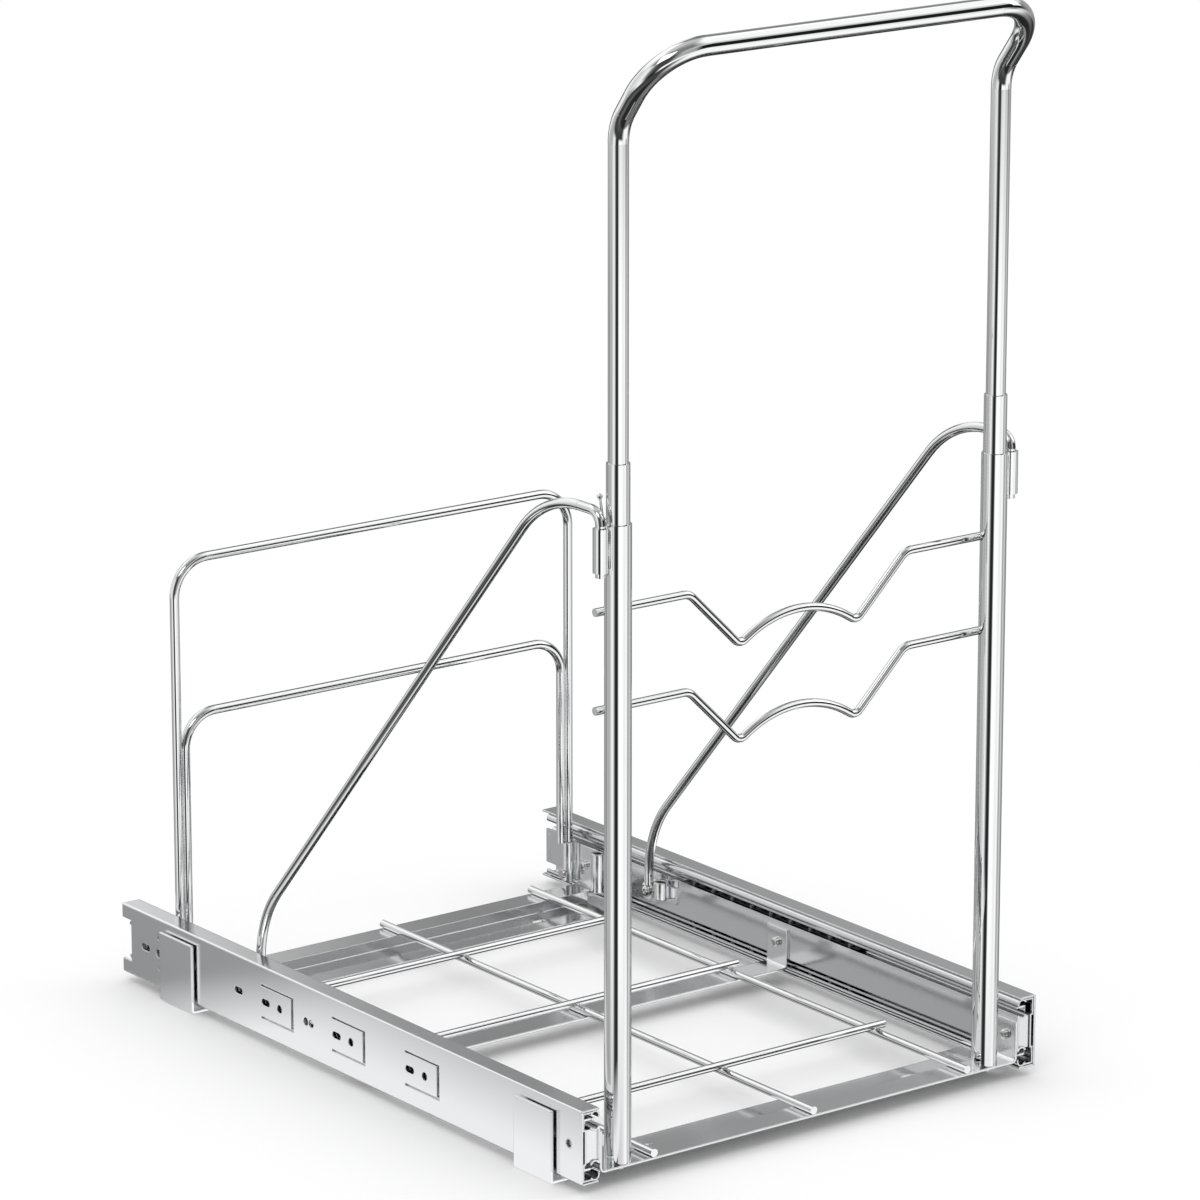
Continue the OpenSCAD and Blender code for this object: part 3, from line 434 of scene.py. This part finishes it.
def turned(bm, profile, place, axis, sides):
    """Adds a closed solid of revolution: profile holds (radius, height) pairs"""
    turn = Vector((0, 0, 1)).rotation_difference(Vector(axis)).to_matrix()
    rings = []
    for radius, height in profile:
        ring = []
        for k in range(1 if radius < ON_AXIS else sides):
            angle = 2 * math.pi * k / sides
            spot = Vector((radius * math.cos(angle), radius * math.sin(angle), height))
            ring.append(bm.verts.new(Vector(place) + turn @ spot))
        rings.append(ring)
    for low, high in zip(rings, rings[1:]):
        for k in range(sides):
            n = (k + 1) % sides
            corners = dict.fromkeys((low[k % len(low)], low[n % len(low)],
                                     high[n % len(high)], high[k % len(high)]))
            if len(corners) > 2:
                bm.faces.new(tuple(corners))


def node_centre(name):
    """Centre of the box of a node of the frame"""
    low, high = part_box(name)
    return (Vector(low) + Vector(high)) / 2


def solid_centres(name):
    """Centre and half size of each separate solid in a node"""
    mesh = NODES[name].data
    bm = bmesh.new()
    bm.from_mesh(mesh)
    bmesh.ops.remove_doubles(bm, verts=bm.verts, dist=SAME_PLACE)
    left = set(bm.verts)
    found = []
    while left:
        stack = [left.pop()]
        group = []
        while stack:
            vertex = stack.pop()
            group.append(vertex.co.copy())
            for edge in vertex.link_edges:
                other = edge.other_vert(vertex)
                if other in left:
                    left.remove(other)
                    stack.append(other)
        low = Vector([min(c[i] for c in group) for i in range(3)])
        high = Vector([max(c[i] for c in group) for i in range(3)])
        found.append(((low + high) / 2, (high - low) / 2))
    bm.free()
    return sorted(found, key=lambda item: tuple(round(v, 6) for v in item[0]))


# Steps that dress the frame


class FRAME_OT_finishes(bpy.types.Operator):
    """Gives every node of the frame its plated, rubber or plastic finish"""

    bl_idname = "pullframe.finishes"
    bl_label = "Finishes"

    def execute(self, context):
        look = context.scene.pullframe_metal
        chrome = chrome_material("bright_chrome", look.chrome_colour, look.chrome_roughness)
        tube = chrome_material("tube_chrome", shade(look.chrome_colour, 1.01),
                               look.chrome_roughness * 0.8)
        rail = sheet_material("rail_zinc", look.sheet_colour, look.sheet_roughness, "Y",
                              RAIL_EDGE)
        bar = sheet_material("bar_zinc", shade(look.sheet_colour, 0.98),
                             look.sheet_roughness * 0.9, "X", RAIL_EDGE)
        plate = sheet_material("plate_zinc", shade(look.sheet_colour, 1.03),
                               look.sheet_roughness * 0.95, "Z", PLATE_EDGE)
        slide = sheet_material("slide_steel", look.slide_colour,
                               look.sheet_roughness * 0.85, "Y", SLIDE_EDGE)
        # Cage strips made nearly black, painting the shade between the slide members
        gap_shaded_cage = sheet_material("cage_strip_painted_dark", shade(look.slide_colour, CAGE_GAP_SHADE_FACTOR),
                              look.sheet_roughness * 2, "Y", SLIDE_EDGE)
        # The balls' deep colour paints the shade of the gap they sit in
        gap_shaded_ball = ground_steel_material("ball_steel", BALL_GAP_SHADE_COLOUR, BALL_ROUGHNESS)
        screw = screw_material("screw_plating", SCREW_COLOUR)
        rubber = rubber_material("stop_rubber", RUBBER_COLOUR)
        plastic = plastic_material("plug_plastic", PLASTIC_COLOUR)
        finishes = (
            (tube, ("left_post", "right_post", "left_sleeve", "right_sleeve", "handle_tube")),
            (chrome, ("long_wires", "cross_wires", "upper_guard", "lower_guard", "outer_hoop",
                      "inner_hoop", "left_brace", "right_brace", "brace_sockets",
                      "spring_levers")),
            (rail, ("left_rail", "right_rail")),
            (bar, ("front_bar", "middle_bar", "rear_bar")),
            (plate, ("left_front_bracket", "left_rear_bracket", "right_front_bracket",
                     "right_rear_bracket", "left_hoop_clip", "right_hoop_clip",
                     "left_brace_clip", "right_brace_clip")),
            (slide, ("left_fixed_member", "right_fixed_member", "left_middle_member",
                     "right_middle_member", "left_drawer_member", "right_drawer_member")),
            (gap_shaded_cage, ("left_outer_cage", "right_outer_cage", "left_inner_cage",
                    "right_inner_cage")),
            (gap_shaded_ball, ("left_outer_balls", "right_outer_balls", "left_inner_balls",
                    "right_inner_balls")),
            (screw, ("bar_screws", "brace_screws", "socket_screws", "post_screws",
                     "rail_rivets")),
            (rubber, ("left_bumper", "right_bumper")),
            (plastic, ("post_plugs", "handle_glides")),
        )
        done = set()
        for material, names in finishes:
            for name in names:
                give(name, material)
                done.add(name)
        missed = set(NODES) - done
        if missed:
            raise RuntimeError("no finish for " + ", ".join(sorted(missed)))
        return {"FINISHED"}


class FRAME_OT_wire_welds(bpy.types.Operator):
    """Adds the welds: at the wire crossings, the guards' ends and the brace sockets"""

    bl_idname = "pullframe.wire_welds"
    bl_label = "Wire Welds"

    # Radius and height of a weld between two wires, as shares of its widest radius
    WAIST = ((0, -0.62), (0.98, -0.62), (0.80, -0.36), (0.66, -0.12), (0.62, 0.0),
             (0.66, 0.12), (0.80, 0.36), (0.98, 0.62), (0, 0.62))
    WAIST_SIDES = 28

    # The ends of a guard are its highest stretch, so their axis is this far below its top
    GUARD_RADIUS = 0.0025

    # Radius in metres and height as a share of half a socket, along the seam beside it, and
    # how far a seam lies from the post's middle line and out of its surface
    SEAM = ((0, -0.9), (0.0005, -0.88), (0.0009, -0.8), (0.0009, 0.8), (0.0005, 0.88),
            (0, 0.9))
    SEAM_SIDES = 20
    SEAM_FROM_MIDDLE = 0.0019
    SEAM_FROM_TUBE = 0.0002

    def execute(self, context):
        radius = context.scene.pullframe_detail.weld_radius
        metal = weld_material("weld_metal", context.scene.pullframe_metal.chrome_colour)
        waist = [(r * radius, h * radius) for r, h in self.WAIST]
        crosses = solid_centres("cross_wires")
        bm = bmesh.new()
        for along, half in solid_centres("long_wires"):
            for across, reach in crosses:
                z = (along.z + half.z + across.z - reach.z) / 2
                turned(bm, waist, (along.x, across.y, z), (0, 0, 1), self.WAIST_SIDES)
        for post in ("left_post", "right_post"):
            middle = node_centre(post).x
            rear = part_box(post)[1][1]
            for name in ("upper_guard", "lower_guard"):
                wire_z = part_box(name)[1][2] - self.GUARD_RADIUS
                turned(bm, waist, (middle, rear, wire_z), (0, 1, 0), self.WAIST_SIDES)
        for socket, half in solid_centres("brace_sockets"):
            side = 1 if socket.x > 0 else -1
            low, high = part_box("left_post" if side < 0 else "right_post")
            seam_x = (high if side > 0 else low)[0] + side * self.SEAM_FROM_TUBE
            middle = (low[1] + high[1]) / 2
            seam = [(r, h * half.z) for r, h in self.SEAM]
            for offset in (-self.SEAM_FROM_MIDDLE, self.SEAM_FROM_MIDDLE):
                turned(bm, seam, (seam_x, middle + offset, socket.z), (0, 0, 1),
                       self.SEAM_SIDES)
        piece("wire_welds", finished(bm, "wire_welds", smooth_angle=70), metal, "carriage")
        return {"FINISHED"}


class FRAME_OT_screw_heads(bpy.types.Operator):
    """Replaces the plain screw heads by domed ones with a cross recess"""

    bl_idname = "pullframe.screw_heads"
    bl_label = "Screw Heads"

    # Height of the head, radius of the shaft and bevel at its end, in metres
    HEAD_HEIGHT = 0.0028
    SHAFT_RADIUS = 0.0020
    POINT = 0.0004
    HEAD_SIDES = 40
    SEED = 7

    # Radius and height of the dome as shares of the head's own
    DOME = ((1, 0.45), (0.97, 0.62), (0.88, 0.8), (0.7, 0.93), (0.42, 1), (0, 1))

    # Half length of a wing as a share of the head's radius, how much of it is left at the
    # bottom of the recess and in the air above it, and how far the cutter stands out
    WING = 0.56
    WING_BELOW = 0.55
    WING_ABOVE = 1.2
    CUTTER_ABOVE = 0.001

    def head(self, radius, depth, width, length):
        """Domed head on z = 0 with its shaft towards -z, as a mesh"""
        height, shaft = self.HEAD_HEIGHT, self.SHAFT_RADIUS
        bm = bmesh.new()
        profile = [(0, -length), (shaft * 0.8, -length), (shaft, -length + self.POINT),
                   (shaft, 0), (radius * 0.97, 0), (radius, SCREW_EDGE)]
        profile += [(radius * r, height * h) for r, h in self.DOME]
        turned(bm, profile, (0, 0, 0), (0, 0, 1), self.HEAD_SIDES)
        dome = bpy.data.objects.new("dome", finished(bm, "dome"))
        bm = bmesh.new()
        wing = radius * self.WING
        levels = ((height - depth, self.WING_BELOW),
                  (height + self.CUTTER_ABOVE, self.WING_ABOVE))
        for turn in (0, math.pi / 2):
            spin = Matrix.Rotation(turn, 4, "Z")
            corners = []
            for z, grow in levels:
                for x, y in ((-wing, -width / 2), (wing, -width / 2), (wing, width / 2),
                             (-wing, width / 2)):
                    corners.append(bm.verts.new(spin @ Vector((x * grow, y, z))))
            low, high = corners[:4], corners[4:]
            bm.faces.new(low[::-1])
            bm.faces.new(high)
            for k in range(4):
                bm.faces.new((low[k], low[(k + 1) % 4], high[(k + 1) % 4], high[k]))
        cutter = bpy.data.objects.new("cutter", finished(bm, "cutter"))
        for made in (dome, cutter):
            bpy.context.scene.collection.objects.link(made)
        cut = dome.modifiers.new("recess", "BOOLEAN")
        cut.operation = "DIFFERENCE"
        cut.solver = "EXACT"
        cut.use_self = True
        cut.object = cutter
        bpy.context.view_layer.update()
        result = bpy.data.meshes.new_from_object(
            dome.evaluated_get(bpy.context.evaluated_depsgraph_get()))
        for made in (dome, cutter):
            bpy.data.objects.remove(made)
        return result

    def execute(self, context):
        detail = context.scene.pullframe_detail
        metal = bpy.data.materials["screw_plating"]
        random.seed(self.SEED)
        for name in ("bar_screws", "brace_screws"):
            bm = bmesh.new()
            for centre, half in solid_centres(name):
                side = 1 if centre.x > 0 else -1
                mould = self.head(half.y, detail.recess_depth, detail.recess_width,
                                  2 * half.x - self.HEAD_HEIGHT)
                inner = centre.x - side * (half.x - self.HEAD_HEIGHT)
                towards_middle = Vector((-side, 0, 0))
                turn = Vector((0, 0, 1)).rotation_difference(towards_middle)
                turn = turn.to_matrix().to_4x4()
                spin = Matrix.Rotation(random.uniform(0, math.pi / 2), 4, "Z")
                mould.transform(Matrix.Translation((inner, centre.y, centre.z)) @ turn @ spin)
                bm.from_mesh(mould)
                bpy.data.meshes.remove(mould)
            domed = finished(bm, name + "_domed", smooth_angle=35)
            made = piece(name + "_domed", domed, metal, "carriage")
            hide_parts(name)
        return {"FINISHED"}


class FRAME_OT_stage(bpy.types.Operator):
    """Builds the pale studio: floor, lamps, room light and camera"""

    bl_idname = "pullframe.stage"
    bl_label = "Studio"

    # Radii of the floor's rings in metres
    FLOOR_RINGS = (0.6, 1.2, 2.5, 5.0, 12.0)
    FLOOR_SIDES = 64

    # Distances from the middle at which the floor starts to turn white and is white
    WHITE_FROM = 0.30
    WHITE_BY = 0.75

    # Metal sees a plain white glow on the floor beside the rails, a painted reflection of
    # bright floor there with no shadow in it. It starts at their outer sides and fades out
    # between two distances from there. Along the rails it is full over a stretch of twice the
    # half length, whose middle lies ahead of the origin. On the right it is weaker.
    POOL_SIDE = 0.174
    POOL_FADE = (0.03, 0.15)
    POOL_AHEAD = 0.10
    POOL_HALF_LENGTH = 0.20
    REFLECTION_GLOW_LEVEL = 0.95
    RIGHT_LOSS = 0.75

    # Name, place, aim, size and share of the key power of each lamp
    LAMPS = (
        ("key_panel", (-1.9, -1.3, 2.6), (0, 0, 0.2), (1.6, 1.2), 1.0),
        ("side_panel", (2.4, -1.2, 1.7), (0, 0, 0.3), (1.0, 1.6), 0.45),
        ("top_panel", (0.2, 0.6, 3.0), (0, 0, 0), (3.6, 3.0), 0.6),
    )

    # Half height of the soft change between two rows, where the whole room is 1 high, and
    # the level of the room for surfaces that aren't mirrors
    ROW_BLEND = 0.022
    PLAIN_LEVEL = 0.98

    # Width of the sensor in millimetres and reach of the camera in metres
    SENSOR_WIDTH = 36
    REACH = 50

    def paper(self, colour):
        """A flat round floor on z = 0"""
        bm = bmesh.new()
        sides = self.FLOOR_SIDES
        rings = []
        for radius in self.FLOOR_RINGS:
            angles = [math.tau * k / sides for k in range(sides)]
            rings.append([bm.verts.new((radius * math.cos(angle), radius * math.sin(angle), 0))
                          for angle in angles])
        bm.faces.new(rings[0])
        for low, high in zip(rings, rings[1:]):
            for k in range(sides):
                n = (k + 1) % sides
                bm.faces.new((low[k], high[k], high[n], low[n]))
        floor = bpy.data.objects.new("floor", finished(bm, "floor", smooth_angle=80))
        bpy.context.scene.collection.objects.link(floor)
        floor.data.materials.append(self.paper_material(colour))

    def paper_material(self, colour):
        """Pale paper that turns to plain white for the camera away from the object. Polished
        metal sees it only beside the rails, where it glows white as a painted reflection of
        bright floor"""
        made, shader = new_material("floor_paper")
        grain = shader.noise(scale=300, detail=2)
        skin = shader.node("ShaderNodeBsdfPrincipled", None, {
            "Base Color": shader.blend(grain, shade(colour, 0.99), colour), "Roughness": 0.9})
        white = shader.node("ShaderNodeEmission", None, {"Color": (1, 1, 1), "Strength": 1.0})
        rays = shader.node("ShaderNodeLightPath")
        far = shader.node("ShaderNodeVectorMath", {"operation": "LENGTH"}, {0: shader.place()})
        distant = shader.ramp(Wire(shader, far.outputs["Value"]), (self.WHITE_FROM, 0),
                              (self.WHITE_BY, 1))
        plain = shader.mixed(Wire(shader, rays.outputs["Is Camera Ray"]) * distant,
                             skin.outputs[0], white.outputs[0])
        spot = shader.node("ShaderNodeSeparateXYZ", None, {"Vector": shader.place()})
        x, y = (Wire(shader, spot.outputs[k]) for k in range(2))
        aside = shader.maths("MAXIMUM", shader.maths("ABSOLUTE", x) - self.POOL_SIDE, 0.0)
        along = shader.maths("ABSOLUTE", y + self.POOL_AHEAD) - self.POOL_HALF_LENGTH
        beyond = shader.maths("MAXIMUM", along, 0.0)
        away = shader.maths("SQRT", aside * aside + beyond * beyond)
        near, distance = self.POOL_FADE
        outside = shader.maths("MAXIMUM", shader.ramp(away, (near, 0), (distance, 1)),
                               shader.maths("ABSOLUTE", x) < self.POOL_SIDE)
        outside = shader.maths("MAXIMUM", outside, (x > 0) * self.RIGHT_LOSS)
        # White glow that only reflection rays see: a painted reflection of lit floor beside
        # the rails
        reflection_glow = shader.node("ShaderNodeEmission", None, {
            "Color": (1, 1, 1), "Strength": self.REFLECTION_GLOW_LEVEL})
        open_air = shader.node("ShaderNodeBsdfTransparent")
        mirrored = shader.mixed(outside, reflection_glow.outputs[0], open_air.outputs[0])
        whole = shader.mixed(rays.outputs["Is Glossy Ray"], plain, mirrored)
        shader.node("ShaderNodeOutputMaterial", None, {"Surface": whole})
        return made

    def lamp(self, name, place, aim, size, power):
        """A soft panel that faces the point it is aimed at"""
        data = bpy.data.lights.new(name, "AREA")
        data.shape = "RECTANGLE"
        data.size, data.size_y = size
        data.energy = power
        made = bpy.data.objects.new(name, data)
        made.location = place
        made.rotation_euler = (Vector(aim) - Vector(place)).to_track_quat("-Z", "Y").to_euler()
        bpy.context.scene.collection.objects.link(made)

    def room(self, strength, azimuth):
        """White panels with dark gaps for mirrors, one plain level for all else and plain
        white for the camera"""
        world = bpy.data.worlds.new("studio_room")
        bpy.context.scene.world = world
        world.use_nodes = True
        shader = Shader(world.node_tree)
        way = shader.node("ShaderNodeTexCoord").outputs["Generated"]
        turn = shader.node("ShaderNodeVectorRotate", {"rotation_type": "Z_AXIS"},
                           {"Vector": way, "Angle": math.pi / 2 - azimuth})
        parts = shader.node("ShaderNodeSeparateXYZ", None, {"Vector": turn.outputs[0]})
        x, y, z = (Wire(shader, parts.outputs[k]) for k in range(3))
        side = shader.maths("ARCTAN2", y, x) * (0.5 / math.pi) + 0.5
        height = z * 0.5 + 0.5
        light = None
        for start, levels in ROOM:
            row = shader.ramp(side, *[(0.5 + angle / 360, level) for angle, level in levels])
            if light is None:
                light = row
                continue
            edge = 0.5 + start / 2
            share = shader.ramp(height, (edge - self.ROW_BLEND, 0), (edge + self.ROW_BLEND, 1))
            light = light * (1 - share) + row * share
        rays = shader.node("ShaderNodeLightPath")
        seen = Wire(shader, rays.outputs["Is Camera Ray"])
        mirrored = Wire(shader, rays.outputs["Is Glossy Ray"])
        light = (light * mirrored + (1 - mirrored) * self.PLAIN_LEVEL) * strength
        back = shader.node("ShaderNodeBackground", None, {
            "Color": (1, 1, 1), "Strength": light * (1 - seen) + seen})
        shader.node("ShaderNodeOutputWorld", None, {"Surface": back.outputs[0]})

    def execute(self, context):
        studio = context.scene.pullframe_studio
        self.paper(studio.floor_colour)
        for name, place, aim, size, share in self.LAMPS:
            self.lamp(name, place, aim, size, studio.key_power * share)
        self.room(studio.world_strength, studio.azimuth)
        data = bpy.data.cameras.new("camera")
        data.sensor_width = self.SENSOR_WIDTH
        data.lens = studio.lens
        data.clip_end = self.REACH
        data.dof.use_dof = False
        made = bpy.data.objects.new("camera", data)
        made.location = studio.camera_place
        flat = math.cos(studio.elevation)
        way = Vector((-math.sin(studio.azimuth) * flat, math.cos(studio.azimuth) * flat,
                      -math.sin(studio.elevation)))
        made.rotation_euler = way.to_track_quat("-Z", "Y").to_euler()
        context.scene.collection.objects.link(made)
        context.scene.camera = made
        context.scene.view_settings.view_transform = "Standard"
        return {"FINISHED"}


STEPS = (FRAME_OT_finishes, FRAME_OT_wire_welds, FRAME_OT_screw_heads, FRAME_OT_stage)
SETTINGS = (MetalSettings, DetailSettings, StudioSettings)


class FRAME_PT_panel(bpy.types.Panel):
    """Lists the steps that dress the pull-out frame"""

    bl_idname = "FRAME_PT_panel"
    bl_label = "Pull-out Frame"
    bl_space_type = "VIEW_3D"
    bl_region_type = "UI"
    bl_category = "Pull-out Frame"

    def draw(self, context):
        column = self.layout.column()
        for step in STEPS:
            column.operator(step.bl_idname)
        for group in (context.scene.pullframe_metal, context.scene.pullframe_detail,
                      context.scene.pullframe_studio):
            box = self.layout.box()
            for name in group.__annotations__:
                box.prop(group, name)


def register():
    for cls in (*SETTINGS, *STEPS, FRAME_PT_panel):
        bpy.utils.register_class(cls)
    bpy.types.Scene.pullframe_metal = bpy.props.PointerProperty(type=MetalSettings)
    bpy.types.Scene.pullframe_detail = bpy.props.PointerProperty(type=DetailSettings)
    bpy.types.Scene.pullframe_studio = bpy.props.PointerProperty(type=StudioSettings)


def unregister():
    for name in ("pullframe_metal", "pullframe_detail", "pullframe_studio"):
        delattr(bpy.types.Scene, name)
    for cls in (FRAME_PT_panel, *reversed(STEPS), *reversed(SETTINGS)):
        bpy.utils.unregister_class(cls)


def main():
    register()
    bpy.ops.pullframe.finishes()
    bpy.ops.pullframe.wire_welds()
    bpy.ops.pullframe.screw_heads()
    bpy.ops.pullframe.stage()


if __name__ == "__main__":
    main()
